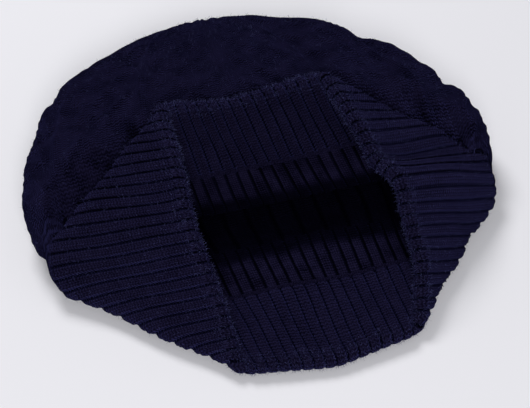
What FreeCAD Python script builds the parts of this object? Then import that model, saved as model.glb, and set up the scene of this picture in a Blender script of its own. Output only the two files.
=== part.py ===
"""Cuffed rib-knit hat, lying on its side with its mouth held open.

Millimetres, +Z up. X runs from tip to tip of the flattened hat, the mouth
faces -Y and up, and the crown lies towards +Y. The origin is at the middle
of the underside, on the surface that the hat rests on.

The hat is a tube of knitting, closed at the crown. Its ribbed band is turned
up outside itself, so the band is two layers thick from the mouth to the
linking seam. The band lies as a flattened bag does when its end is pulled
open across the flat: a floor panel, a rear wall that leans back over the
crown, and a flank on each side that slopes down to a tip. The space inside
it is a wedge between those four, open over the mouth, and each layer of
knitting is that wedge grown by the layers inside it.
"""

import FreeCAD, Part

import os

import Sketcher

doc = FreeCAD.newDocument("CuffedKnitHat")

# ---------------------------------------------------------------- sizes

sheet = doc.addObject("Spreadsheet::Sheet", "Sizes")

SIZES = {
    # crown, as it lies
    "crown_width": 250,  # from side to side
    "crown_back": 117.5,  # from the origin back to the crown's rear edge
    "crown_reach": 129,  # from the crown's widest place to its rear edge
    "crown_rise": 34,  # half the crown's full thickness, before the table flattens it
    "crown_middle": 18,  # height of the crown's widest place
    # knitting
    "wall": 3.2,  # thickness of one layer of ribbed knitting
    "crown_wall": 3.6,  # thickness of the patterned crown knitting
    "ease": 0.3,  # room between two layers that lie against each other
    # the space inside the band, between the shoulders of the mouth
    "mouth_width": 80,  # from shoulder to shoulder
    "front_reach": 110.8,  # from the origin forward to the inside of the front fold
    "rear_reach": 10.5,  # from the origin back to the inside of the rear fold
    "rear_height": 57,  # height of the inside of the rear fold
    "neck_reach": 33.5,  # from the origin forward to where rear wall and floor meet
    # the space inside the band, at the tips
    "tip_width": 226,  # from tip to tip
    "tip_reach": 41.5,  # from the origin forward to the front of the tip
    # neck: the flat opening between band and crown
    "neck_width": 164,
    "neck_gap": 11,
    # linking seam between band and crown
    "seam_yarn": 1.8,  # thickness of the linking yarn
    "seam_tilt": 28.0,  # degrees that the seam's plane leans back from level
    "seam_reach": 58.5,  # from the origin forward to where that plane meets the floor panel
    # yarn that draws the crown shut
    "gather_ring": 5,  # radius of the drawn-up ring
    "gather_yarn": 1.2,  # radius of its yarn
}

CUTTER = 400  # side of the blocks that trim the solids, larger than the hat
HALF = CUTTER / 2

for row, (alias, value) in enumerate(SIZES.items(), start=1):
    sheet.set(f"A{row}", alias)
    sheet.set(f"B{row}", str(value))
    sheet.setAlias(f"B{row}", alias)
doc.recompute()


def cell(alias):
    """The alias as an expression on the sheet."""
    return f"{sheet.Name}.{alias}"


CUFF = f"(2 * {cell('wall')} + {cell('ease')})"  # both layers together
LEAN = (  # slope of the rear wall
    f"atan2({cell('rear_height')} - {CUFF}; {cell('rear_reach')} + {cell('neck_reach')})"
)

# ---------------------------------------------------------------- helpers


def add(kind, name, **links):
    """A document object with its links set."""
    thing = doc.addObject(kind, name)
    for key, value in links.items():
        setattr(thing, key, value)
    return thing


def bind(thing, **formulas):
    """Binds properties to formulas; a double underscore stands for a dot."""
    for key, formula in formulas.items():
        thing.setExpression(key.replace("__", "."), formula)
    return thing


def cut(name, base, tool):
    return add("Part::Cut", name, Base=base, Tool=tool)


def common(name, base, tool):
    return add("Part::Common", name, Base=base, Tool=tool)


def fuse(name, *shapes):
    return add("Part::MultiFuse", name, Shapes=list(shapes))


def outline(name, corners, start):
    """A closed sketch of straight lines, with its corners bound to formulas, drawn from start."""
    sketch = doc.addObject("Sketcher::SketchObject", name)
    count = len(corners)
    for i, (u, v) in enumerate(start):
        u_next, v_next = start[(i + 1) % count]
        line = Part.LineSegment(FreeCAD.Vector(u, v, 0), FreeCAD.Vector(u_next, v_next, 0))
        sketch.addGeometry(line, False)
    for i in range(count):
        sketch.addConstraint(Sketcher.Constraint("Coincident", i, 2, (i + 1) % count, 1))
    for i in range(count):
        for axis, place, formula in zip("XY", start[i], corners[i]):
            constraint = Sketcher.Constraint(f"Distance{axis}", -1, 1, i, 1, float(place))
            index = sketch.addConstraint(constraint)
            sketch.renameConstraint(index, f"corner{i}{axis}")
            sketch.setExpression(f"Constraints.corner{i}{axis}", formula)
    return sketch


def side_outline(name, corners, x):
    """An outline with corners (y, z) in the upright plane at x."""
    start = [(-60, 10), (-30, 12), (10, 60), (-20, 90)]
    sketch = outline(name, corners, start[: len(corners)])
    sketch.Placement.Rotation = FreeCAD.Rotation(FreeCAD.Vector(1, 1, 1), 120)
    return bind(sketch, Placement__Base__x=x)


def grown(outline, grow):
    """The outline moved outwards by grow, with its corners rounded."""
    return bind(add("Part::Offset2D", f"{outline.Name}_grown", Source=outline), Value=grow)


def extrusion(name, base, direction, length):
    solid = add("Part::Extrusion", name, Base=base, DirMode="Custom", Solid=True)
    solid.Dir = FreeCAD.Vector(*direction)
    return bind(solid, LengthFwd=length)


def leaning_block(name, lean, y, z, lift="0"):
    """A large block above the plane through the line (y, z) that leans back by lean."""
    box = add("Part::Box", name, Length=CUTTER, Width=CUTTER, Height=CUTTER)
    box.Placement.Rotation = FreeCAD.Rotation(FreeCAD.Vector(1, 0, 0), 30)
    return bind(
        box,
        Placement__Rotation__Angle=lean,
        Placement__Base__x=f"{-HALF}",
        Placement__Base__y=f"{y} - {HALF} * cos({lean}) - ({lift}) * sin({lean})",
        Placement__Base__z=f"{z} - {HALF} * sin({lean}) + ({lift}) * cos({lean})",
    )


# ---------------------------------------------------------------- the space inside the band

FRONT = (f"-{cell('front_reach')}", CUFF)
NECK = (f"-{cell('neck_reach')}", CUFF)
REAR = (cell("rear_reach"), cell("rear_height"))
SHOULDER_X = f"{cell('mouth_width')} / 2"
MOUTH_LEAN = (  # slope of the mouth, from front fold to rear fold
    f"atan2({cell('rear_height')} - {CUFF}; {cell('rear_reach')} + {cell('front_reach')})"
)
FLANK_LEAN = (  # how far each flank turns down from the mouth's slope, about the mouth's edge
    f"atan2(({cell('front_reach')} - {cell('tip_reach')}) * sin({MOUTH_LEAN});"
    f" ({cell('tip_width')} - {cell('mouth_width')}) / 2)"
)


def over_flank(name, side, grow):
    """A large block over one flank: side is -1 for the left and 1 for the right."""
    box = add("Part::Box", name, Length=CUTTER, Width=CUTTER, Height=CUTTER)
    across = f"create(<<rotation>>; create(<<vector>>; 1; 0; 0); {MOUTH_LEAN})"
    down = f"create(<<rotation>>; create(<<vector>>; 0; 1; 0); {side} * {FLANK_LEAN})"
    place = f"create(<<vector>>; {side} * {SHOULDER_X}; {FRONT[0]}; {FRONT[1]})"
    corner = f"create(<<vector>>; {-HALF}; {-HALF}; {grow})"
    turn = f"{across} * {down}"
    return bind(box, Placement=f"create(<<placement>>; {place} + ({turn}) * {corner}; {turn})")


TIP_RISE = (  # height of the tip's top over the floor, where the flank meets the rear wall
    f"(({cell('neck_reach')} - {cell('tip_reach')}) * tan({MOUTH_LEAN}) * -1"
    f" / (1 - tan({MOUTH_LEAN}) / tan({LEAN})))"
)
TIP_X = f"{cell('tip_width')} / 2"
TIP_FRONT_Y = f"-{cell('tip_reach')}"
TIP_REAR_Y = f"{TIP_RISE} / tan({LEAN}) - {cell('neck_reach')}"


def footprint(name):
    """The space inside the band, seen from above."""
    right = [
        (SHOULDER_X, FRONT[0]),
        (TIP_X, TIP_FRONT_Y),
        (TIP_X, TIP_REAR_Y),
        (SHOULDER_X, REAR[0]),
    ]
    left = [(f"-{x}", y) for x, y in reversed(right)]
    start = [(40, -110), (110, -50), (110, -30), (40, 10), (-40, 10), (-110, -30), (-110, -50), (-40, -110)]
    return outline(name, right + left, start)


def layer(name, grow):
    """The space inside the band, grown all round."""
    side = side_outline(f"{name}_side", [FRONT, NECK, REAR], f"-{HALF}")
    plan = footprint(f"{name}_plan")
    if grow != "0":
        side = grown(side, grow)
        plan = grown(plan, grow)
    across = extrusion(f"{name}_across", side, (1, 0, 0), f"{CUTTER}")
    upright = extrusion(f"{name}_upright", plan, (0, 0, 1), f"{HALF}")
    over_flanks = fuse(
        f"{name}_over_flanks",
        over_flank(f"{name}_over_left", -1, grow),
        over_flank(f"{name}_over_right", 1, grow),
    )
    return cut(name, common(f"{name}_wedge", across, upright), over_flanks)


hollow = layer("hollow", "0")
seam_inner = layer("seam_inner", f"(-{cell('seam_yarn')} / 3)")
seam_outer = layer("seam_outer", f"({cell('seam_yarn')} * 2 / 3)")
sleeve = layer("sleeve", cell("wall"))
sleeve_room = layer("sleeve_room", f"({cell('wall')} + {cell('ease')})")
cuff_outside = layer("cuff_outside", CUFF)

# Over the mouth, from shoulder to shoulder, nothing closes the hollow.
FORWARD = f"{HALF} * sin({MOUTH_LEAN})"
UPWARD = f"{HALF} * cos({MOUTH_LEAN})"
ABOVE_REAR = (f"{REAR[0]} - {FORWARD}", f"{REAR[1]} + {UPWARD}")
ABOVE_FRONT = (f"{FRONT[0]} - {FORWARD}", f"{FRONT[1]} + {UPWARD}")
mouth_side_outline = side_outline(
    "mouth_side_outline", [FRONT, REAR, ABOVE_REAR, ABOVE_FRONT], f"-{SHOULDER_X}"
)
over_mouth = extrusion("over_mouth", mouth_side_outline, (1, 0, 0), cell("mouth_width"))

# ---------------------------------------------------------------- linking seam

SEAM_LEAN = f"({cell('seam_tilt')} * 1 deg)"
SEAM_Y = f"-{cell('seam_reach')}"
mouth_side = leaning_block("mouth_side", SEAM_LEAN, SEAM_Y, CUFF)
seam_slab = leaning_block("seam_slab", SEAM_LEAN, SEAM_Y, CUFF, f"-{cell('seam_yarn')} / 2")
bind(seam_slab, Height=cell("seam_yarn"))
seam_tube = cut("seam_tube", seam_outer, seam_inner)
seam_loop = common("seam_loop", seam_tube, seam_slab)
linking_seam = cut("linking_seam", seam_loop, over_mouth)

# ---------------------------------------------------------------- neck


def slot(name, grow):
    """The flat neck's opening through the foot of the rear wall, grown all round."""
    box = add("Part::Box", name)
    return bind(
        box,
        Length=f"{cell('neck_width')} + 2 * {grow}",
        Width=f"{cell('neck_reach')} + {CUFF}",
        Height=f"{cell('neck_gap')} + 2 * {grow}",
        Placement__Base__x=f"-{cell('neck_width')} / 2 - {grow}",
        Placement__Base__y=f"-{cell('neck_reach')}",
        Placement__Base__z=f"{CUFF} - {grow}",
    )


neck_way = slot("neck_way", "0")
neck_sleeve = slot("neck_sleeve", cell("wall"))
neck_room = slot("neck_room", f"({cell('wall')} + {cell('ease')})")

# ---------------------------------------------------------------- rib band

# Both layers from the mouth to the seam, and the turned-up cuff alone beyond
# it, where the crown's sleeve lies inside it.
inside = fuse("inside", hollow, over_mouth)
double_layer = cut("double_layer", cuff_outside, inside)
double_part = common("double_part", double_layer, mouth_side)
cuff_layer = cut("cuff_layer", cuff_outside, sleeve_room)
cuff_open = cut("cuff_open", cuff_layer, over_mouth)
band_layers = fuse("band_layers", double_part, cuff_open)
band_at_neck = cut("band_at_neck", band_layers, neck_room)
rib_band = cut("rib_band", band_at_neck, linking_seam)

# ---------------------------------------------------------------- crown


def dome(name, inset):
    """The crown's rounded shape, drawn in by inset."""
    solid = add("Part::Ellipsoid", name)
    return bind(
        solid,
        Radius1=f"{cell('crown_rise')} - {inset}",
        Radius2=f"{cell('crown_width')} / 2 - {inset}",
        Radius3=f"{cell('crown_reach')} - {inset}",
        Placement__Base__y=f"{cell('crown_back')} - {cell('crown_reach')}",
        Placement__Base__z=cell("crown_middle"),
    )


def table(name, height):
    """A large block whose top is at that height."""
    box = add("Part::Box", name, Length=CUTTER, Width=CUTTER, Height=CUTTER)
    box.Placement.Base = FreeCAD.Vector(-HALF, -HALF, -CUTTER)
    return bind(box, Placement__Base__z=f"{height} - {CUTTER}")


# The crown lies under and behind the band's rear wall, and is flat below.
UNDER_CUFF = f"({CUFF} + {cell('ease')})"
UNDER_CROWN = f"({UNDER_CUFF} + {cell('crown_wall')})"
before_crown = leaning_block("before_crown", LEAN, NECK[0], NECK[1], f"-{UNDER_CUFF}")
before_room = leaning_block("before_room", LEAN, NECK[0], NECK[1], f"-{UNDER_CROWN}")
dome_behind = cut("dome_behind", dome("dome_outside", "0"), before_crown)
room_behind = cut("room_behind", dome("dome_inside", cell("crown_wall")), before_room)
crown_room = cut("crown_room", room_behind, table("crown_floor", cell("crown_wall")))

# The sleeve: the crown's first courses, which line the cuff from the seam to
# the neck and pass through the neck into the crown.
sleeve_open = cut("sleeve_open", sleeve, over_mouth)
sleeve_part = cut("sleeve_part", sleeve_open, mouth_side)
neck_tube = cut("neck_tube", neck_sleeve, crown_room)

# The yarn that draws the last stitches shut, at the rear of the crown.
crown_gather = add("Part::Torus", "crown_gather")
crown_gather.Placement.Rotation = FreeCAD.Rotation(FreeCAD.Vector(1, 0, 0), 90)
bind(
    crown_gather,
    Radius1=cell("gather_ring"),
    Radius2=cell("gather_yarn"),
    Placement__Base__y=f"{cell('crown_back')} - {cell('gather_yarn')}",
    Placement__Base__z=cell("crown_middle"),
)

crown_solid = fuse("crown_solid", dome_behind, sleeve_part, neck_tube)
crown_spaces = fuse("crown_spaces", crown_room, inside, neck_way)
crown_shell = cut("crown_shell", crown_solid, crown_spaces)
crown_flat = cut("crown_flat", crown_shell, table("resting_plane", "0"))
crown_notched = cut("crown_notched", crown_flat, linking_seam)
crown_body = cut("crown_body", crown_notched, crown_gather)

# ---------------------------------------------------------------- check and write

SUBPARTS = [crown_body, rib_band, linking_seam, crown_gather]

doc.recompute()
for thing in doc.Objects:
    for word in ("Invalid", "Error"):
        if word in thing.State:
            raise RuntimeError(f"{thing.Name} is {word}: {thing.getStatusString()}")

os.makedirs("parts", exist_ok=True)
for thing in SUBPARTS:
    shape = thing.Shape
    if shape.isNull() or not shape.isValid():
        raise RuntimeError(f"{thing.Label} has no valid shape")
    box = shape.optimalBoundingBox(False)
    low = f"({box.XMin:.1f}, {box.YMin:.1f}, {box.ZMin:.1f})"
    high = f"({box.XMax:.1f}, {box.YMax:.1f}, {box.ZMax:.1f})"
    print(f"{thing.Label}: {len(shape.Solids)} solid, {shape.Volume / 1000:.1f} cm3, {low} to {high}")
    shape.exportStep(f"parts/{thing.Label}.step")
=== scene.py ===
# %% [markdown]
# # A cuffed rib-knit hat, lying with its mouth held open
#
# The hat is one soft tube of knitting. Its ribbed band is turned up outside
# itself, so the mouth is a rolled fold. Behind the mouth lies the puffed
# crown, in a low cable pattern, drawn shut at the back.
#
# The measured frame is loaded first. Everything after it is placed by the
# boxes of the frame's own nodes, in metres, with +Z up.

# %% Load the frame
import math

import bpy
import numpy as np
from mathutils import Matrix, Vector


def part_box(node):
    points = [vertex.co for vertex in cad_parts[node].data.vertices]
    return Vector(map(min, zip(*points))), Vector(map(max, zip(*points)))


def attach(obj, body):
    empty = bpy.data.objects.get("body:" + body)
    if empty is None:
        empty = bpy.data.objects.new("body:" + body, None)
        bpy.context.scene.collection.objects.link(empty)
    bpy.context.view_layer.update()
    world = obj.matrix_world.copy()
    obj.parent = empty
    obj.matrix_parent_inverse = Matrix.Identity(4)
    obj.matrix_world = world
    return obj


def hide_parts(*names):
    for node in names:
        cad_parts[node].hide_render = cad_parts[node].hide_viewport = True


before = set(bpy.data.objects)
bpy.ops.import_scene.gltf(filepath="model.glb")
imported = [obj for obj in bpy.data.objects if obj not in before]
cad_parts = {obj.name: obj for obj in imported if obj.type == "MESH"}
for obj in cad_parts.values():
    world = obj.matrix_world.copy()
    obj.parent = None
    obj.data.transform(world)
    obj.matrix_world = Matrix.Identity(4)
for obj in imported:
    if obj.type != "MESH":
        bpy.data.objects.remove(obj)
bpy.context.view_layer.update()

MM = 0.001
band_low, band_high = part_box("rib_band")
crown_low, crown_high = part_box("crown_body")
gather_low, gather_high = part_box("crown_gather")

# %% [markdown]
# ## The view
#
# The hat is seen from in front, a little to its left, looking down at 45
# degrees into the mouth. A long lens from most of a metre away keeps the
# hat's proportions calm. The camera comes first, so that every later step
# can be judged through it.

# %% Camera
LOOK_ROUND = math.radians(-16.0)
LOOK_DOWN = math.radians(45.0)
LOOK_FROM = 850 * MM
SEEN_WIDTH = 273.2 * MM  # how much of the table fits across the view
SENSOR = 36.0

backward = Vector((math.sin(LOOK_ROUND) * math.cos(LOOK_DOWN),
                   -math.cos(LOOK_ROUND) * math.cos(LOOK_DOWN),
                   math.sin(LOOK_DOWN)))
rightward = (-backward).cross(Vector((0, 0, 1))).normalized()
upward = backward.cross(rightward).normalized()
looked_at = Vector((0, 2 * MM, 20 * MM)) + rightward * 3.6 * MM - upward * 21.9 * MM

lens = bpy.data.cameras.new("view")
lens.sensor_width = SENSOR
lens.lens = LOOK_FROM * SENSOR / SEEN_WIDTH
lens.clip_start = 0.05
camera = bpy.data.objects.new("view", lens)
camera.location = looked_at + backward * LOOK_FROM
camera.rotation_euler = backward.to_track_quat("Z", "Y").to_euler()
bpy.context.scene.collection.objects.link(camera)
bpy.context.scene.camera = camera
print("lens", round(lens.lens, 1), "mm")

# %% [markdown]
# ## The shape that the knitting follows
#
# A bag whose end is pulled open across its flat takes a four-cornered form:
# the mouth is a tall loop with two corners behind and two in front, and the
# loops below it change step by step into a flat slot from tip to tip. The
# girth grows by about a tenth on the way, from about 451 to 501 millimetres:
# ribbing gives that much sideways, and here it is spread evenly.
#
# So the band's middle surface is a family of loops. Each is a few corner
# points, read as shares of the band's own box, softened into a curve and
# then cut into equal steps of girth, so a column of steps is a knitted wale.

# %% Corners of the mouth and of the tips
def in_band(across, forward, high):
    """A place in the band's box, as shares of its width, depth and height."""
    shares = (across, forward, high)
    return np.array([low + (top - low) * share
                     for low, top, share in zip(band_low, band_high, shares)])


# each line: at the mouth's fold, and at the flat end of the band
LOOP_CORNERS = {
    "rear middle": (in_band(0.445, 0.935, 0.865), in_band(0.500, 0.655, 0.310)),
    "rear right": (in_band(0.660, 0.955, 0.950), in_band(0.992, 0.680, 0.285)),
    "right high": (in_band(0.686, 0.745, 0.850), in_band(0.985, 0.640, 0.250)),
    "right middle": (in_band(0.734, 0.500, 0.650), in_band(0.985, 0.600, 0.190)),
    "right low": (in_band(0.742, 0.230, 0.290), in_band(0.975, 0.560, 0.120)),
    "front right": (in_band(0.700, 0.030, 0.062), in_band(0.958, 0.525, 0.075)),
    "front middle": (in_band(0.510, -0.030, 0.062), in_band(0.500, 0.550, 0.075)),
    "front left": (in_band(0.318, 0.028, 0.062), in_band(0.040, 0.530, 0.075)),
    "left low": (in_band(0.312, 0.230, 0.300), in_band(0.018, 0.550, 0.110)),
    "left middle": (in_band(0.292, 0.480, 0.610), in_band(0.008, 0.590, 0.180)),
    "left high": (in_band(0.298, 0.740, 0.840), in_band(0.012, 0.640, 0.245)),
    "rear left": (in_band(0.298, 0.950, 0.935), in_band(0.028, 0.680, 0.285)),
}
FRONT = list(LOOP_CORNERS).index("front middle")

# %% From corners to loops
COLUMNS = 800  # steps of girth
LEVELS = 49  # loops from the fold to the flat end
FOLD_SOFTNESS = 4.0 * MM
TIP_SOFTNESS = 3.0 * MM


def closed_steps(corners, softness, columns):
    """A closed run of corners, softened, in equal steps from rear middle to
    front middle and from there back to rear middle."""
    closed = np.vstack([corners, corners[:1]])
    reach = np.concatenate([[0], np.cumsum(np.linalg.norm(np.diff(closed, axis=0), axis=1))])
    girth = reach[-1]
    fine = 1024
    marks = np.arange(fine) / fine * girth
    line = np.stack([np.interp(marks, reach, closed[:, k]) for k in range(3)], 1)
    waves = np.fft.fftfreq(fine, girth / fine)
    keep = np.exp(-2 * (np.pi * waves * softness) ** 2)
    line = np.fft.ifft(np.fft.fft(line, axis=0) * keep[:, None], axis=0).real
    half = columns // 2
    stops = np.concatenate([np.arange(half) / half * reach[FRONT],
                            reach[FRONT] + np.arange(half) / half * (girth - reach[FRONT])])
    wrapped = np.vstack([line, line[:1]])
    return np.stack([np.interp(stops, np.append(marks, girth), wrapped[:, k]) for k in range(3)], 1)


def loop_family(columns):
    """The band's middle surface: levels from the fold, columns round it."""
    at_fold = np.array([pair[0] for pair in LOOP_CORNERS.values()])
    at_tips = np.array([pair[1] for pair in LOOP_CORNERS.values()])
    loops = []
    for level in np.linspace(0, 1, LEVELS):
        corners = at_fold * (1 - level) + at_tips * level
        softness = FOLD_SOFTNESS * (1 - level) + TIP_SOFTNESS * level
        loops.append(closed_steps(corners, softness, columns))
    return np.array(loops)


def unit(vectors):
    return vectors / np.maximum(np.linalg.norm(vectors, axis=-1, keepdims=True), 1e-12)


def facing(surface):
    """Outward directions of a surface of rows, each row closed on itself."""
    round_it = np.roll(surface, -1, axis=1) - np.roll(surface, 1, axis=1)
    down_it = np.gradient(surface, axis=0)
    return unit(np.cross(down_it, round_it))


middle = loop_family(COLUMNS)
girths = np.linalg.norm(np.roll(middle, -1, axis=1) - middle, axis=2).sum(1)
print("girth at the fold and the tips, mm:", (girths[[0, -1]] / MM).round(1))

# %% [markdown]
# Real knitting isn't as smooth as ruled loops. The right flank carries a
# rounded pleat where spare girth has pushed up, with a hollow below it, and
# every panel has slow, shallow waves. They are added along the surface's own
# direction, before any thickness, so both layers share them.

# %% Pleat and waves in the band
around = np.arange(COLUMNS) / COLUMNS
levels = np.linspace(0, 1, LEVELS)


def round_gap(place, centre):
    """Signed distance round the girth, in shares of it."""
    return (place - centre + 0.5) % 1.0 - 0.5


def hump(distance, width):
    return np.exp(-(distance / width) ** 2)


def swell(around, levels):
    """Height of the pleat and the slow waves, in metres."""
    turn = around[None, :]
    deep = levels[:, None]
    pleat = 6.0 * hump(round_gap(turn, 0.215 + 0.01 * deep), 0.018)
    pleat -= 4.5 * hump(round_gap(turn, 0.258 + 0.01 * deep), 0.020)
    pleat = pleat * hump(deep - 0.35, 0.42)
    slow = 0.8 * np.sin(2 * np.pi * (5 * turn + 0.9 * deep) + 0.7)
    slow = slow + 0.6 * np.sin(2 * np.pi * (9 * turn - 1.3 * deep) + 2.1)
    return (pleat + slow * (0.35 + deep * (1 - deep) * 2.2)) * MM


middle = middle + facing(middle) * swell(around, levels)[:, :, None]
outward = facing(middle)
centre_of_band = middle.mean((0, 1))
if ((middle - centre_of_band) * outward).sum() < 0:
    outward = -outward
downward = unit(np.gradient(middle, axis=0))


def on_surface(values, level):
    """Values of the surface at a level, one number or one for each column."""
    place = np.clip(np.broadcast_to(level, (values.shape[1],)), 0, 1) * (LEVELS - 1)
    lower = np.minimum(place.astype(int), LEVELS - 2)
    share = (place - lower)[:, None]
    column = np.arange(values.shape[1])
    return values[lower, column] * (1 - share) + values[lower + 1, column] * share


print("outward check", bool(outward[LEVELS // 2, COLUMNS // 4, 0] > 0))

# %% [markdown]
# ## Ribs
#
# A two-by-two rib shows pairs of raised wales with a deep furrow between the
# pairs. Across one pair the height is a rounded plateau with a slight groove
# where its two wales meet. Eighty pairs go round the mouth.

# %% Height of the ribs
RIBS = 80
RIB_DEPTH = 1.3 * MM
FURROW_WIDTH = 0.15  # shares of a rib
PAIR_GROOVE_WIDTH = 0.07
HALF_FOLD = 3.35 * MM  # from the middle surface to either face


def rib_height(turn, ribs=RIBS, depth=RIB_DEPTH, groove=0.16):
    """Height across a rib pair, nought at its crest and -depth in the furrow."""
    across = (turn * ribs) % 1.0 - 0.5
    furrow = hump(np.abs(across) - 0.5, FURROW_WIDTH)
    between = hump(across, PAIR_GROOVE_WIDTH) * groove
    return -depth * (furrow + between)


ribs_here = rib_height(around)
print("ribs from", (ribs_here.min() / MM).round(2), "to", (ribs_here.max() / MM).round(2), "mm")

# %% Knitted pieces from rows of points
LOWEST = 0.2 * MM  # nothing knitted reaches the table top itself


class Strip:
    """Closed rows of points, one after another along the wales of a piece."""

    def __init__(self):
        self.rows = []
        self.along = []  # millimetres of wale
        self.ribs = []
        self.finish = []

    def add(self, points, along, ribs, finish=0):
        self.rows.append(points)
        self.along.append(along)
        self.ribs.append(ribs)
        self.finish.append(finish)

    def closing(self, row, start):
        """The faces between a row and a single point at its middle."""
        columns = len(self.rows[0])
        for c in range(columns):
            pair = [row * columns + c, row * columns + (c + 1) % columns]
            yield (*(pair[::-1] if row == 0 else pair), start)

    def piece(self, name, joined, poles=()):
        """The strip as an object. Its own map counts ribs round it and
        millimetres along it. A joined strip closes on its first row."""
        rows = np.array(self.rows)
        rows[:, :, 2] = np.maximum(rows[:, :, 2], LOWEST)
        count, columns = rows.shape[:2]
        points = [tuple(p) for p in rows.reshape(-1, 3)] + [tuple(pole) for pole, _ in poles]
        faces, spots, finishes = [], [], []
        for r in range(count if joined else count - 1):
            below = (r + 1) % count
            far = self.along[below] if below else self.along[r]
            for c in range(columns):
                after = (c + 1) % columns
                faces.append((r * columns + c, r * columns + after,
                              below * columns + after, below * columns + c))
                left, right = c / columns * self.ribs[r], (c + 1) / columns * self.ribs[r]
                spots += [(left, self.along[r]), (right, self.along[r]), (right, far), (left, far)]
            finishes += [self.finish[r]] * columns
        for which, (_, row) in enumerate(poles):
            for face in self.closing(row, count * columns + which):
                faces.append(face)
                spots += [(0, self.along[row])] * 3
                finishes.append(self.finish[row])
        mesh = bpy.data.meshes.new(name)
        mesh.from_pydata(points, [], faces)
        stitches = mesh.uv_layers.new(name="stitches")
        stitches.data.foreach_set("uv", np.array(spots, np.float32).ravel())
        mesh.polygons.foreach_set("material_index", finishes)
        mesh.polygons.foreach_set("use_smooth", [True] * len(faces))
        piece = bpy.data.objects.new(name, mesh)
        bpy.context.scene.collection.objects.link(piece)
        return piece


def point_outwards(piece):
    """Turns every face of a closed piece outwards."""
    bpy.ops.object.select_all(action="DESELECT")
    bpy.context.view_layer.objects.active = piece
    piece.select_set(True)
    bpy.ops.object.mode_set(mode="EDIT")
    bpy.ops.mesh.select_all(action="SELECT")
    bpy.ops.mesh.normals_make_consistent(inside=False)
    bpy.ops.object.mode_set(mode="OBJECT")
    piece.select_set(False)
    triangles = sum(len(p.vertices) - 2 for p in piece.data.polygons)
    print(piece.name, triangles, "triangles")


# %% [markdown]
# ## The band
#
# One strip of ribbing, followed through its whole section: up the inside of
# the mouth, over the rolled fold, down the outside as the cuff, round the
# free edge, and back between the two layers. The section closes on itself,
# so the band is one closed piece as thick as its two layers.
#
# It could be a cloth simulation, but eighty ribs have to run evenly and cross
# the fold cleanly, and rows of points give that directly. What they don't give
# is how real knitting would bunch and sag, so the pleat and waves are given.

# %% The band's section
CUFF = 83 * MM  # from the fold to the free edge
REAR_LINK = 0.62  # linking line below the fold, as a share of the cuff
FRONT_LINK = 0.60
FREE_EDGE = 0.955
ROLL = 0.9 * MM  # how much thicker the fold is than two pressed layers
LAYER_GAP = 0.15 * MM  # from the middle surface to the hidden side of each layer
FOLD_SPREAD = 7 * MM  # how far from the fold it is still thicker
RELIEF_SPREAD = 3 * MM  # how far from the fold the ribs are still pressed
FOLD_RELIEF = 0.45  # how much of the ribs' height is left over the rolled fold

link_level = REAR_LINK + (FRONT_LINK - REAR_LINK) * (0.5 - 0.5 * np.cos(2 * np.pi * around))


def half_thickness(level):
    return HALF_FOLD + ROLL * np.exp(-np.asarray(level) * CUFF / FOLD_SPREAD)


def face_row(level, side):
    """A row of points on one face of the folded band: side 1 is the cuff's."""
    level = np.broadcast_to(level, (COLUMNS,))
    relief = 1 - (1 - FOLD_RELIEF) * np.exp(-level * CUFF / RELIEF_SPREAD)
    reach = side * (half_thickness(level) + relief * ribs_here)
    return on_surface(middle, level) + on_surface(outward, level) * reach[:, None]


def fold_row(angle):
    """A row over the rolled fold, from -90 degrees inside to 90 outside."""
    reach = (half_thickness(0) + ribs_here * FOLD_RELIEF)[:, None]
    sweep = outward[0] * math.sin(angle) - downward[0] * math.cos(angle)
    return middle[0] + sweep * reach


def free_edge_row(angle):
    """A row round the cuff's free edge, from 90 degrees outside to -90."""
    radius = (HALF_FOLD - LAYER_GAP) / 2
    centre = (HALF_FOLD + LAYER_GAP) / 2
    out = centre + radius * math.sin(angle) + ribs_here * max(0, math.sin(angle))
    along = radius * math.cos(angle)
    return (on_surface(middle, FREE_EDGE) + on_surface(downward, FREE_EDGE) * along
            + on_surface(outward, FREE_EDGE) * out[:, None])


def hidden_row(level, side):
    """A row in the gap between the two layers."""
    level = np.broadcast_to(level, (COLUMNS,))
    return on_surface(middle, level) + on_surface(outward, level) * side * LAYER_GAP


INSIDE_LENGTH = 41  # millimetres from the linking line to the fold
OVER_FOLD = 4  # millimetres of wale from the fold's middle to its outer foot
ROLL_REACH = 3.5  # millimetres of wale to a radian of the fold
band = Strip()
for share in np.linspace(1, 0.03, 19):
    band.add(face_row(link_level * share, -1), -share * INSIDE_LENGTH, RIBS)
for angle in np.radians(np.linspace(-90, 90, 11)):
    band.add(fold_row(angle), ROLL_REACH * angle, RIBS)
for level in np.linspace(0.02, FREE_EDGE, 32):
    band.add(face_row(level, 1), level * CUFF / MM + OVER_FOLD, RIBS)
for angle in np.radians((60, 20, -20, -60)):
    band.add(free_edge_row(angle), CUFF / MM + OVER_FOLD, RIBS)
for level in np.linspace(FREE_EDGE, 0.08, 9):
    band.add(hidden_row(level, 1), level * CUFF / MM, RIBS)
for share in np.linspace(0.16, 1, 6):
    band.add(hidden_row(link_level * share, -1), -share * INSIDE_LENGTH, RIBS)
rib_band_knit = band.piece("rib_band_knit", joined=True)
point_outwards(rib_band_knit)

# %% [markdown]
# ## The crown
#
# The crown's tube starts inside the mouth at the linking line, leaves the
# band through the flat slot between the tips, and swells into a low dome
# behind it. The dome leans against the back of the cuff, rests on the table,
# and closes at the middle of the rear edge, where the yarn draws it shut.
#
# Its loops are sections of a dome with a round plan. Near the slot they lean
# with the band, and the height is limited by the back of the leaning cuff.

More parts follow.
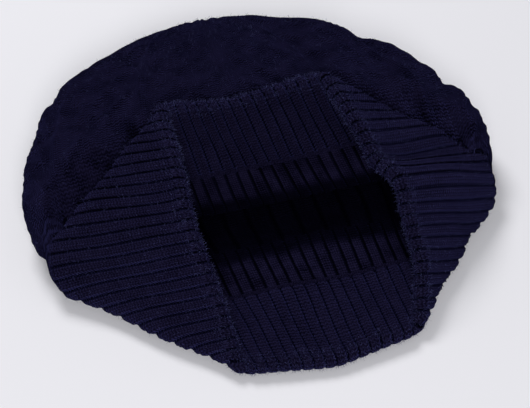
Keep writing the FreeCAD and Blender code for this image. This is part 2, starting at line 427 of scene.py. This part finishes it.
# %% The dome's loops
CROWN_COLUMNS = 640
BAG_LEVELS = 66
PLAN_CENTRE = -13 * MM
START_ANGLE = math.radians(-7.0)
END_ANGLE = math.radians(88.2)
RELIEF_ROOM = 2.5 * MM  # kept back from the box for the folds and cables
crown_half = (crown_high.x - crown_low.x) / 2 - RELIEF_ROOM
RIGHT_SLACK = 0.085  # how much the right rear of the plan is flattened
crown_far = crown_high.y - RELIEF_ROOM - PLAN_CENTRE
WIDEST = (gather_low.z + gather_high.z) / 2
DOME = crown_high.z - WIDEST - 1.5 * MM
TABLE_GAP = 1.2 * MM
CUFF_ROOM = 0.9 * MM  # between the back of the cuff and the crown
CORNER_ROOM = 4 * MM  # how far the dome rounds off where the cuff holds it down
TIP_FREE = 104 * MM  # where the cuff's free edge ends, from the middle
wall_foot = LOOP_CORNERS["rear middle"][1]
wall_top = LOOP_CORNERS["rear middle"][0]
wall_slope = (wall_top[2] - wall_foot[2]) / (wall_top[1] - wall_foot[1])


def under_cuff(x, y):
    """Height of the underside of the leaning cuff above a place, with room.
    Past the free edge at the tips nothing holds the crown down."""
    drop = (HALF_FOLD + CUFF_ROOM) * math.hypot(1, wall_slope)
    past_tip = np.clip((np.abs(x) - TIP_FREE) / (9 * MM), 0, 1)
    return wall_foot[2] + wall_slope * (y - wall_foot[1]) - drop + 12 * MM * past_tip


def softest(a, b, room):
    """The lower of two heights, with their corner rounded off."""
    return 0.5 * (a + b - np.sqrt((a - b) ** 2 + room ** 2))


def dome_loop(share):
    """One loop of the dome, from the slot, share 0, to the gather, share 1."""
    turn = START_ANGLE + (END_ANGLE - START_ANGLE) * share
    swing = np.linspace(0, 2 * np.pi, 721)[:-1]
    flare = 1 - 0.055 * math.exp(-share / 0.045)
    across = crown_half * math.cos(turn) * flare * np.sin(swing)
    across = across * (1 - np.where(across > 0, RIGHT_SLACK, 0) * math.sin(2 * max(turn, 0)) ** 2)
    inside = math.cos(turn) * np.abs(np.cos(swing))
    along = PLAN_CENTRE + crown_far * math.sin(turn)
    top = WIDEST + DOME * inside ** 0.74
    bottom = WIDEST - (WIDEST - TABLE_GAP) * np.minimum(1, 1.12 * inside ** 0.5)
    lean = 0.94 * (1 - share) ** 2
    y_top = along + lean * (top - WIDEST)
    for _ in range(3):
        height = softest(top, under_cuff(across, along + lean * (top - WIDEST) * 0.3),
                         CORNER_ROOM)
        y_top = along + lean * (height - WIDEST)
    upper = np.cos(swing) > 0
    z = np.where(upper, np.maximum(height, WIDEST - 6 * MM), bottom)
    y = np.where(upper, y_top, along + lean * (bottom - WIDEST))
    return np.stack([across, y, z], 1)


def equal_steps(loop, columns):
    """A closed loop in equal steps, in two halves from its first point."""
    half = len(loop) // 2
    parts = []
    for run in (loop[:half + 1], np.vstack([loop[half:], loop[:1]])):
        reach = np.concatenate([[0], np.cumsum(np.linalg.norm(np.diff(run, axis=0), axis=1))])
        stops = np.arange(columns // 2) / (columns // 2) * reach[-1]
        parts.append(np.stack([np.interp(stops, reach, run[:, k]) for k in range(3)], 1))
    return np.vstack(parts)


bag = np.array([equal_steps(dome_loop(s), CROWN_COLUMNS) for s in np.linspace(0, 1, BAG_LEVELS)])
print("dome from", (bag.min((0, 1)) / MM).round(1), "to", (bag.max((0, 1)) / MM).round(1))

# %% [markdown]
# Slow folds come next: long shallow valleys that run from the rear edge
# towards the shoulders of the mouth, and a general unevenness, because loose
# knitting over air never lies as a true dome. They fade out towards the cuff,
# so that the crown never pushes through it.

# %% Slow folds of the crown
# each: plan start, plan end, depth and half width
VALLEYS = (
    ((16, 100), (41, 24), 3.4, 7.0),
    ((-52, 88), (-34, 30), 2.2, 9.0),
    ((-104, 40), (-60, 14), 2.4, 8.0),
    ((78, 72), (66, 14), 2.4, 8.0),
    ((112, 26), (88, 2), 2.0, 7.0),
)


def valley_depth(places):
    """Depth of the folds at places of the dome's upper side, in metres."""
    depth = np.zeros(places.shape[:2])
    for start, end, deep, wide in VALLEYS:
        start, end = np.array(start) * MM, np.array(end) * MM
        run = end - start
        share = ((places[:, :, :2] - start) @ run) / (run @ run)
        bend = 0.10 * np.sin(np.pi * np.clip(share, 0, 1))[:, :, None] * np.array([-run[1], run[0]])
        foot = start + np.clip(share, 0, 1)[:, :, None] * run + bend
        away = np.linalg.norm(places[:, :, :2] - foot, axis=2)
        depth += deep * MM * np.exp(-(away / (wide * MM)) ** 2)
    return depth


def waves(places, seed):
    """Smooth unevenness between about -1 and 1."""
    chance = np.random.default_rng(seed)
    total = np.zeros(places.shape[:2])
    for size in (55, 38, 27, 19):
        for _ in range(3):
            direction = unit(chance.normal(size=3)) * 2 * np.pi / (size * MM)
            total += np.sin(places @ direction + chance.uniform(0, 6.28)) * size / 160
    return total / 2.2


clear_of_cuff = np.clip((under_cuff(bag[:, :, 0], bag[:, :, 1]) - bag[:, :, 2]) / (9 * MM), 0, 1)
upper_side = np.clip((bag[:, :, 2] - WIDEST + 6 * MM) / (12 * MM), 0, 1)
to_gather = np.clip((1 - np.linspace(0, 1, BAG_LEVELS)) / 0.15, 0, 1)[:, None]
bag_out = facing(bag)
if ((bag - bag.mean((0, 1))) * bag_out).sum() < 0:
    bag_out = -bag_out
folds = 2.3 * MM * waves(bag, 11) - valley_depth(bag)
bag = bag + bag_out * (folds * clear_of_cuff * upper_side * to_gather)[:, :, None]
bag_out = facing(bag)
if ((bag - bag.mean((0, 1))) * bag_out).sum() < 0:
    bag_out = -bag_out

# %% [markdown]
# The cable relief is made of raised cords that wander from side to side as
# they climb, each opposite to its neighbour, so that pairs meet and part.
# Every fourth cord runs straight. Where a cord crosses the rear edge it shows
# as a small bump in the outline.

# %% Height of the cables
CABLES = 44
CABLE_HEIGHT = 2.0 * MM
CABLE_WAVE = 23 * MM
CABLE_ROOT = 1.1 * MM  # the height of the relief that lies on the dome itself
CROWN_THICK = 3.4 * MM


def cable_height(turn, along):
    """Height of the cable pattern, nought to CABLE_HEIGHT."""
    place = turn * CABLES
    here = np.floor(place)
    height = np.zeros(np.broadcast(turn, along).shape)
    for step in (-1, 0, 1):
        cord = here + step
        sway = np.where(cord % 2 == 0, 0.42, -0.42) * np.where(cord % 4 == 3, 0.0, 1.0)
        drift = sway * np.sin(2 * np.pi * along / CABLE_WAVE + 0.9 * np.sin(cord * 2.4))
        away = place - (cord + 0.5 + drift)
        height = np.maximum(height, np.exp(-(away / 0.27) ** 2))
    return CABLE_HEIGHT * height


crown_around = np.arange(CROWN_COLUMNS) / CROWN_COLUMNS
bag_steps = np.linalg.norm(np.diff(bag, axis=0), axis=2)
bag_along = np.vstack([np.zeros(CROWN_COLUMNS), np.cumsum(bag_steps, axis=0)])
room = np.linalg.norm(np.roll(bag, -1, axis=1) - bag, axis=2) * CROWN_COLUMNS / CABLES
spread = np.clip(room / (9 * MM), 0.12, 1)
cables = cable_height(crown_around[None, :], bag_along) * spread
relief = (cables - CABLE_ROOT) * (0.35 + 0.65 * clear_of_cuff)
bag_face = bag + bag_out * relief[:, :, None]
bag_face[:, :, 2] = np.maximum(bag_face[:, :, 2], 0.3 * MM)
bag_lining = bag - bag_out * (CROWN_THICK * np.clip(spread, 0.3, 1))[:, :, None]

# %% The sleeve inside the mouth
SLEEVE_RIBS = 80
INSIDE = 1  # the crown's second finish
LINING_STEP = 6  # every so many loops of the dome carry its inner face
sleeve_middle = loop_family(CROWN_COLUMNS)
sleeve_middle = sleeve_middle + facing(sleeve_middle) * swell(crown_around, levels)[:, :, None]
sleeve_out = facing(sleeve_middle)
if ((sleeve_middle - centre_of_band) * sleeve_out).sum() < 0:
    sleeve_out = -sleeve_out
sleeve_link = REAR_LINK + (FRONT_LINK - REAR_LINK) * (0.5 - 0.5 * np.cos(2 * np.pi * crown_around))


def sleeve_row(share, inside):
    """A row of the sleeve: share 0 at the linking line, 1 at the slot."""
    level = sleeve_link + (1 - sleeve_link) * share
    soft = rib_height(crown_around, SLEEVE_RIBS, 1.1 * MM * (1 - 0.9 * share), 0.3)
    reach = -(HALF_FOLD - 0.2 * MM + soft) if inside else np.full(CROWN_COLUMNS, -0.3 * MM)
    return on_surface(sleeve_middle, level) + on_surface(sleeve_out, level) * reach[:, None]


inner_pole = bag_lining[-1].mean(0) - np.array([0, 2 * MM, 0])
outer_pole = bag_face[-1].mean(0) - np.array([0, 1.5 * MM, 0])
sleeve_length = CUFF * 0.4 / MM
crown = Strip()
for level in range(BAG_LEVELS - 1, 0, -LINING_STEP):
    crown.add(bag_lining[level], sleeve_length + bag_along[level].mean() / MM, CABLES,
              finish=INSIDE)
for share in np.linspace(1, 0, 22):
    crown.add(sleeve_row(share, True), share * sleeve_length, SLEEVE_RIBS, finish=INSIDE)
for share in np.linspace(0, 1, 6):
    crown.add(sleeve_row(share, False), share * sleeve_length, SLEEVE_RIBS)
for level in range(1, BAG_LEVELS):
    crown.add(bag_face[level], sleeve_length + bag_along[level].mean() / MM, CABLES)
crown_knit = crown.piece("crown_knit", joined=False,
                         poles=((inner_pole, 0), (outer_pole, len(crown.rows) - 1)))
point_outwards(crown_knit)

# %% [markdown]
# ## Yarns
#
# Two places show a separate yarn: the linking chain that joins the band to
# the crown inside the mouth, and the yarn that draws the crown shut. Each is
# two strands laid round each other along a closed line.

# %% Twisted yarn along a closed line
def twisted_yarn(name, line, strand, lay, turns, sides=8):
    """Two strands of a radius, laid round a closed line at a distance."""
    line = np.asarray(line)
    count = len(line)
    ahead = unit(np.roll(line, -1, axis=0) - np.roll(line, 1, axis=0))
    side = unit(np.cross(ahead, np.array([0.02, 0.03, 1.0])))
    over = np.cross(side, ahead)
    points, faces = [], []
    for which in (0, 1):
        phase = 2 * np.pi * turns * np.arange(count) / count + math.pi * which
        route = line + (side * np.cos(phase)[:, None] + over * np.sin(phase)[:, None]) * lay
        base = len(points)
        for k in range(sides):
            angle = 2 * np.pi * k / sides
            ring = route + (side * math.cos(angle) + over * math.sin(angle)) * strand
            points.extend(tuple(p) for p in ring)
        for k in range(sides):
            for c in range(count):
                after = (c + 1) % count
                up = (k + 1) % sides
                faces.append((base + k * count + c, base + k * count + after,
                              base + up * count + after, base + up * count + c))
    mesh = bpy.data.meshes.new(name)
    mesh.from_pydata(points, [], faces)
    mesh.polygons.foreach_set("use_smooth", [True] * len(faces))
    piece = bpy.data.objects.new(name, mesh)
    bpy.context.scene.collection.objects.link(piece)
    point_outwards(piece)
    return piece


LINK_SUNK = 0.5 * MM  # how far the linking yarn lies in the knitting
link_line = (on_surface(middle, link_level)
             - on_surface(outward, link_level) * (HALF_FOLD - LINK_SUNK))
LINK_STRAND = 0.62 * MM
LINK_LAY = 0.42 * MM
LINK_TURNS = 160
linking_yarn = twisted_yarn("linking_yarn", link_line, LINK_STRAND, LINK_LAY, LINK_TURNS)

GATHER_POINTS = 120
GATHER_STRAND = 0.6 * MM
GATHER_LAY = 0.45 * MM
GATHER_TURNS = 12
gather_centre = (gather_low + gather_high) / 2
gather_radius = (gather_high.z - gather_low.z) / 2 - 1.2 * MM
gather_turn = 2 * np.pi * np.arange(GATHER_POINTS) / GATHER_POINTS
wobble = 1 + 0.06 * np.sin(5 * gather_turn)
gather_line = np.stack([gather_centre.x + gather_radius * wobble * np.cos(gather_turn),
                        np.full(GATHER_POINTS, gather_centre.y),
                        gather_centre.z + gather_radius * wobble * np.sin(gather_turn)], 1)
gather_yarn = twisted_yarn("gather_yarn", gather_line, GATHER_STRAND, GATHER_LAY, GATHER_TURNS)

# %% [markdown]
# ## Loose fibres
#
# Wool is brushed by wear, and short loose fibres stand off every surface.
# They are what softens the outline and catches light along the folds;
# their colour, paler than the wool's, is painted highlight. Each is a fine
# closed spike with one bend, rooted in the knitting. They stand thickest on
# the rolled fold, where the knitting is stretched open.

# %% Loose fibres
FIBRE_THICK = 0.045 * MM
FIBRE_SHORTEST = 0.9
FIBRE_LONGEST = 2.6
FOLD_ROWS = (17, 32)  # rows of the band over and beside the fold
CUFF_ROWS = (30, 62)  # rows of its outer face
FOLD_CREST = 7  # the fold's middle among its own rows
FIBRES_ON_FOLD = 5200
FIBRES_ON_CUFF = 3600
FIBRES_ON_CROWN = 4200


def fibre_roots(surface, directions, count, chance):
    """Random places of a surface, with the direction that faces out there."""
    row = chance.integers(0, surface.shape[0], count)
    column = chance.integers(0, surface.shape[1], count)
    return surface[row, column], directions[row, column]


def spikes(name, roots, out, chance):
    """Closed bent spikes, one from each root."""
    count = len(roots)
    length = chance.uniform(FIBRE_SHORTEST, FIBRE_LONGEST, (count, 1)) * MM
    heading = unit(out + chance.normal(size=(count, 3)) * 0.75)
    heading = np.where((heading * out).sum(1, keepdims=True) < 0.15, out, heading)
    bent = unit(heading + chance.normal(size=(count, 3)) * 0.6)
    side = unit(np.cross(heading, chance.normal(size=(count, 3))))
    over = np.cross(heading, side)
    knee = roots + heading * length * 0.5
    tip = knee + bent * length * 0.5
    tip[:, 2] = np.maximum(tip[:, 2], LOWEST)
    knee[:, 2] = np.maximum(knee[:, 2], LOWEST)
    points = []
    for place, thick in ((roots - out * 0.3 * MM, 1.0), (knee, 0.8)):
        for turn in (0, 2 * math.pi / 3, 4 * math.pi / 3):
            away = side * math.cos(turn) + over * math.sin(turn)
            points.append(place + away * FIBRE_THICK * thick)
    points.append(tip)
    points = np.stack(points, 1).reshape(-1, 3)
    pattern = [(0, 2, 1), (0, 1, 4, 3), (1, 2, 5, 4), (2, 0, 3, 5), (3, 4, 6), (4, 5, 6), (5, 3, 6)]
    faces = [tuple(7 * k + v for v in face) for k in range(count) for face in pattern]
    mesh = bpy.data.meshes.new(name)
    mesh.from_pydata([tuple(p) for p in points], [], faces)
    piece = bpy.data.objects.new(name, mesh)
    bpy.context.scene.collection.objects.link(piece)
    point_outwards(piece)
    return piece


def shown_surface(strip, first, last):
    """Rows of a strip with the directions that face away from its middle layer."""
    part = np.array(strip.rows[first:last])
    return part, facing(part)


chance = np.random.default_rng(5)
fold_part, fold_out = shown_surface(band, *FOLD_ROWS)
cuff_part, cuff_out = shown_surface(band, *CUFF_ROWS)
if (fold_out[FOLD_CREST] * downward[0]).sum() > 0:
    fold_out, cuff_out = -fold_out, -cuff_out
fold_roots = fibre_roots(fold_part, fold_out, FIBRES_ON_FOLD, chance)
cuff_roots = fibre_roots(cuff_part, cuff_out, FIBRES_ON_CUFF, chance)
crown_roots = fibre_roots(bag_face[3:-2], bag_out[3:-2], FIBRES_ON_CROWN, chance)
band_fibres = spikes("band_fibres", np.vstack([fold_roots[0], cuff_roots[0]]),
                     np.vstack([fold_roots[1], cuff_roots[1]]), chance)
crown_fibres = spikes("crown_fibres", *crown_roots, chance)

# %% [markdown]
# ## Finishes
#
# Shader maths is easier to read as plain expressions, so a small class wraps
# a socket and turns +, -, * and / into Math nodes. One method makes any
# other node.

# %% A wrapped socket
class Value:
    """A shader socket that can be used in an expression."""

    def __init__(self, tree, socket):
        self.tree = tree
        self.socket = socket

    def node(self, kind, settings, **inputs):
        return make_node(self.tree, kind, settings, **inputs)

    def sum_with(self, operation, a, b=None):
        node = self.tree.nodes.new("ShaderNodeMath")
        node.operation = operation
        for place, value in enumerate((a, b)):
            if value is not None:
                feed(self.tree, node.inputs[place], value)
        return Value(self.tree, node.outputs[0])

    def __add__(self, other):
        return self.sum_with("ADD", self, other)

    def __radd__(self, other):
        return self.sum_with("ADD", other, self)

    def __sub__(self, other):
        return self.sum_with("SUBTRACT", self, other)

    def __rsub__(self, other):
        return self.sum_with("SUBTRACT", other, self)

    def __mul__(self, other):
        return self.sum_with("MULTIPLY", self, other)

    def __rmul__(self, other):
        return self.sum_with("MULTIPLY", other, self)

    def power(self, other):
        return self.sum_with("POWER", self, other)

    def fraction(self):
        return self.sum_with("FRACT", self)

    def size(self):
        return self.sum_with("ABSOLUTE", self)

    def cosine(self):
        return self.sum_with("COSINE", self)

    def between(self, low, high):
        """Nought below low, one above high, smooth in between."""
        return self.node("ShaderNodeMapRange", {"interpolation_type": "SMOOTHSTEP"},
                         Value=self, From_Min=low, From_Max=high)["Result"]


def feed(tree, socket, value):
    if isinstance(value, Value):
        tree.links.new(value.socket, socket)
    else:
        socket.default_value = value


def make_node(tree, kind, settings, **inputs):
    """Any node: its settings first, then the values or links of its sockets."""
    node = tree.nodes.new(kind)
    for setting, value in settings.items():
        if setting == "stops":
            ramp = node.color_ramp.elements
            for element, (place, colour) in zip(ramp, value):
                element.position = place
                element.color = colour
        else:
            setattr(node, setting, value)
    for name, value in inputs.items():
        feed(tree, node.inputs[name.replace("_", " ")], value)
    return {out.name: Value(tree, out) for out in node.outputs if out.enabled}


def new_finish(name, **constants):
    """A material with a Principled surface and its constant sockets set."""
    finish = bpy.data.materials.new(name)
    finish.use_nodes = True
    surface = finish.node_tree.nodes["Principled BSDF"]
    for socket, value in constants.items():
        surface.inputs[socket.replace("_", " ")].default_value = value
    return finish, finish.node_tree, surface


# %% [markdown]
# ### Knitted navy wool
#
# Close up, a wale is a column of little V shapes: two legs that lean towards
# its middle, one pair to a course. The piece's own map counts ribs one way
# and millimetres of wale the other, so the V pattern follows every fold. Its
# height drives a bump, and the same pattern darkens the colour between the
# legs and in the furrows, which is painted shade. Loose fibres make a soft
# bloom, which is the sheen, and a fine speckle.
#
# The real wool is one colour inside and out. The deep inside of the crown has
# painted shade here, a darker colour from 19 millimetres below the linking
# line, because little light reaches it and the gap between the layers has to
# look black.

# %% Knitted finish
# The darkest navy: the wool's darkest fibres, and the colour of the painted shade in furrows,
# between stitches and deep inside the crown.
DEEP_NAVY_AND_SHADE = (0.0006, 0.0005, 0.0020, 1)
SOFT_NAVY = (0.0118, 0.0100, 0.0325, 1)
# Painted shade: the crown is the same wool as the band, given a darker navy because its upper side
# faces the lights.
CROWN_SHADED_NAVY = (0.0082, 0.0069, 0.0235, 1)
PAINTED_SHADE_OVER = 9  # millimetres of wale over which the deep inside turns dark
INSIDE_NAVY = (0.0125, 0.0106, 0.0340, 1)
COURSE = 1.7  # millimetres of wale to a course
CREST_WIDTH = 0.19  # from the middle of a rib to the middle of either wale
MIX_SHARE, MIX_FIRST, MIX_SECOND, MIX_RESULT = 0, 6, 7, 2  # its colour sockets


def knitted_finish(name, wool, furrow, wales, lean, mottle, bump_depth, bloom=0.10, painted_shade_from=None):
    """Knitted wool. Wales 0 is a paired rib, with painted shade and a lower bump
    in the furrow between its pairs, as strong as furrow, and a number is that
    many plain wales to a rib of the map. Lean is how far a leg rises across a
    wale, mottle how uneven the wool is, and bloom how much sheen it has.
    Painted shade darkens it past the millimetres of wale given last, if set."""
    finish, tree, surface = new_finish(
        name, Sheen_Weight=bloom, Sheen_Roughness=0.35, Sheen_Tint=(0.20, 0.20, 0.75, 1),
        Specular_IOR_Level=0.0)
    stitches = make_node(tree, "ShaderNodeUVMap", {"uv_map": "stitches"})["UV"]
    split = make_node(tree, "ShaderNodeSeparateXYZ", {}, Vector=stitches)
    round_it, along = split["X"], split["Y"]
    place = make_node(tree, "ShaderNodeTexCoord", {})["Object"]
    shake = make_node(tree, "ShaderNodeTexNoise", {"noise_dimensions": "3D"},
                      Vector=place, Scale=320.0, Detail=2.0)["Fac"]
    if wales:
        from_middle = ((round_it * wales).fraction() - 0.5).size() * 2
        relief_and_furrow_shade = 1
    else:
        from_crest = (round_it.fraction() - 0.5).size()
        from_middle = (from_crest * (1 / CREST_WIDTH) - 1).size()
        # Painted shade: the colour darkens in the furrow between rib pairs, and the bump sinks
        # there too.
        relief_and_furrow_shade = 1 - from_crest.between(0.36, 0.46) * furrow
    course = along * (1 / COURSE) + from_middle * lean + shake * 1.3
    leg = (course * (2 * math.pi)).cosine() * 0.5 + 0.5
    strand = 1 - ((from_middle * 2 - 1).size()).power(2.5)
    stitch = (strand * 0.7 + 0.3) * (leg * 0.8 + 0.2) * relief_and_furrow_shade
    fibre = make_node(tree, "ShaderNodeTexNoise", {"noise_dimensions": "3D"},
                      Vector=place, Scale=1300.0, Detail=3.0, Roughness=0.7)["Fac"]
    patch = make_node(tree, "ShaderNodeTexNoise", {"noise_dimensions": "3D"},
                      Vector=place, Scale=110.0, Detail=4.0)["Fac"]
    height = stitch * 0.8 + fibre * 0.4
    # The colour share: painted shade between the stitch legs and in the furrows, with the wool's
    # own mottle and fibre speckle.
    light = (stitch * 0.9 + fibre.between(0.35, 0.75) * 0.35) * relief_and_furrow_shade + (patch - 0.5) * mottle
    # Painted shade: past the given millimetres of wale the colour darkens towards deep navy, for
    # the shade deep inside the crown.
    if painted_shade_from is not None:
        light = light * (1 - along.between(painted_shade_from, painted_shade_from + PAINTED_SHADE_OVER) * 0.85)
    mix = tree.nodes.new("ShaderNodeMix")
    mix.data_type = "RGBA"
    mix.inputs[MIX_FIRST].default_value = DEEP_NAVY_AND_SHADE
    mix.inputs[MIX_SECOND].default_value = wool
    feed(tree, mix.inputs[MIX_SHARE], light)
    feed(tree, surface.inputs["Base Color"], Value(tree, mix.outputs[MIX_RESULT]))
    bump = make_node(tree, "ShaderNodeBump", {}, Strength=1.0, Distance=bump_depth,
                     Height=height)["Normal"]
    feed(tree, surface.inputs["Normal"], bump)
    feed(tree, surface.inputs["Roughness"], fibre * 0.15 + 0.8)
    return finish


rib_finish = knitted_finish("rib_wool", SOFT_NAVY, 0.6, 0, 0.5, 0.6, 0.9 * MM)
crown_finish = knitted_finish("crown_wool", CROWN_SHADED_NAVY, 0, 5, 0.5, 1.9, 1.1 * MM)
# The inside of the crown, with painted shade from 19 millimetres of wale inwards.
lining_finish = knitted_finish("crown_wool_inside", INSIDE_NAVY, 0.25, 0, -0.2, 1.6, 0.9 * MM,
                               bloom=0.02, painted_shade_from=19)
print("finishes", rib_finish.name, crown_finish.name)

# %% Yarn finish
yarn_finish, yarn_tree, yarn_surface = new_finish(
    "yarn_wool", Sheen_Weight=0.10, Sheen_Roughness=0.35, Sheen_Tint=(0.20, 0.20, 0.75, 1),
    Specular_IOR_Level=0.0)
yarn_place = make_node(yarn_tree, "ShaderNodeTexCoord", {})["Object"]
yarn_fibre = make_node(yarn_tree, "ShaderNodeTexNoise", {"noise_dimensions": "3D"},
                       Vector=yarn_place, Scale=1800.0, Detail=3.0)["Fac"]
yarn_ramp = make_node(yarn_tree, "ShaderNodeValToRGB",
                      {"stops": ((0.3, DEEP_NAVY_AND_SHADE), (0.8, SOFT_NAVY))}, Fac=yarn_fibre)["Color"]
feed(yarn_tree, yarn_surface.inputs["Base Color"], yarn_ramp)
yarn_bump = make_node(yarn_tree, "ShaderNodeBump", {}, Strength=0.8, Distance=0.2 * MM,
                      Height=yarn_fibre)["Normal"]
feed(yarn_tree, yarn_surface.inputs["Normal"], yarn_bump)

rib_band_knit.data.materials.append(rib_finish)
crown_knit.data.materials.append(crown_finish)
crown_knit.data.materials.append(lining_finish)
linking_yarn.data.materials.append(yarn_finish)
gather_yarn.data.materials.append(yarn_finish)

# %% Fibre finish
# Painted highlight: the loose fibres are the same navy wool, given a paler, brighter blue so that
# they glow along the folds and the outline.
FIBRE_HIGHLIGHT_BLUE = (0.030, 0.032, 0.105, 1)
FIBRE_HIGHLIGHT_PALE = (0.075, 0.080, 0.210, 1)
fibre_finish, fibre_tree, fibre_surface = new_finish(
    "fibre_wool_painted_highlight", Roughness=0.6, Sheen_Weight=0.3, Sheen_Roughness=0.4,
    Sheen_Tint=(0.3, 0.34, 0.8, 1), Specular_IOR_Level=0.1)
fibre_place = make_node(fibre_tree, "ShaderNodeTexCoord", {})["Object"]
fibre_noise = make_node(fibre_tree, "ShaderNodeTexNoise", {"noise_dimensions": "3D"},
                        Vector=fibre_place, Scale=900.0, Detail=1.0)["Fac"]
fibre_ramp = make_node(fibre_tree, "ShaderNodeValToRGB",
                       {"stops": ((0.35, FIBRE_HIGHLIGHT_BLUE), (0.7, FIBRE_HIGHLIGHT_PALE))}, Fac=fibre_noise)["Color"]
feed(fibre_tree, fibre_surface.inputs["Base Color"], fibre_ramp)
band_fibres.data.materials.append(fibre_finish)
crown_fibres.data.materials.append(fibre_finish)

# %% [markdown]
# ## The studio
#
# A plain pale sweep under soft light: one large light high behind the hat,
# which brightens the crown and the rolled folds, another from the front left,
# which reaches the rear wall of the mouth, and a pale surround that fills the
# shadows.

# %% Floor and light
bpy.ops.object.select_all(action="DESELECT")
bpy.ops.mesh.primitive_plane_add(size=6, location=(0, 0, 0))
floor = bpy.context.object
floor.name = "studio_floor"
floor_finish, _, floor_surface = new_finish("pale_floor", Roughness=0.85,
                                            Specular_IOR_Level=0.2)
floor_surface.inputs["Base Color"].default_value = (0.76, 0.755, 0.79, 1)
floor.data.materials.append(floor_finish)


def soft_light(name, place, aim, size, power):
    light = bpy.data.lights.new(name, "AREA")
    light.shape = "DISK"
    light.size = size
    light.energy = power
    lamp = bpy.data.objects.new(name, light)
    lamp.location = place
    lamp.rotation_euler = (Vector(place) - Vector(aim)).to_track_quat("Z", "Y").to_euler()
    bpy.context.scene.collection.objects.link(lamp)
    return lamp


soft_light("behind", (-0.25, 1.25, 1.35), (0, 0, 0), 0.7, 22)
soft_light("front_high", (-0.35, -1.5, 1.15), (0, 0, 0), 0.8, 24)

surround = bpy.data.worlds.new("pale_surround")
surround.use_nodes = True
surround.node_tree.nodes["Background"].inputs["Color"].default_value = (0.95, 0.96, 1.0, 1)
surround.node_tree.nodes["Background"].inputs["Strength"].default_value = 0.24
bpy.context.scene.world = surround
bpy.context.scene.view_settings.view_transform = "Standard"

# %% [markdown]
# ## What each piece is
#
# Every piece rides on the hat's one body and stands for its measured solid.
# The band and the crown are sheets of knitting.

# %% Attach the pieces to the body and hide the frame's parts
for piece, node, slot in ((rib_band_knit, "rib_band", "rib_knit"),
                          (crown_knit, "crown_body", "crown_knit"),
                          (linking_yarn, "linking_seam", "sewing_yarn"),
                          (gather_yarn, "crown_gather", "sewing_yarn")):
    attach(piece, "root")
    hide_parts(node)
for fibres, slot in ((band_fibres, "rib_knit"), (crown_fibres, "crown_knit")):
    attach(fibres, "root")
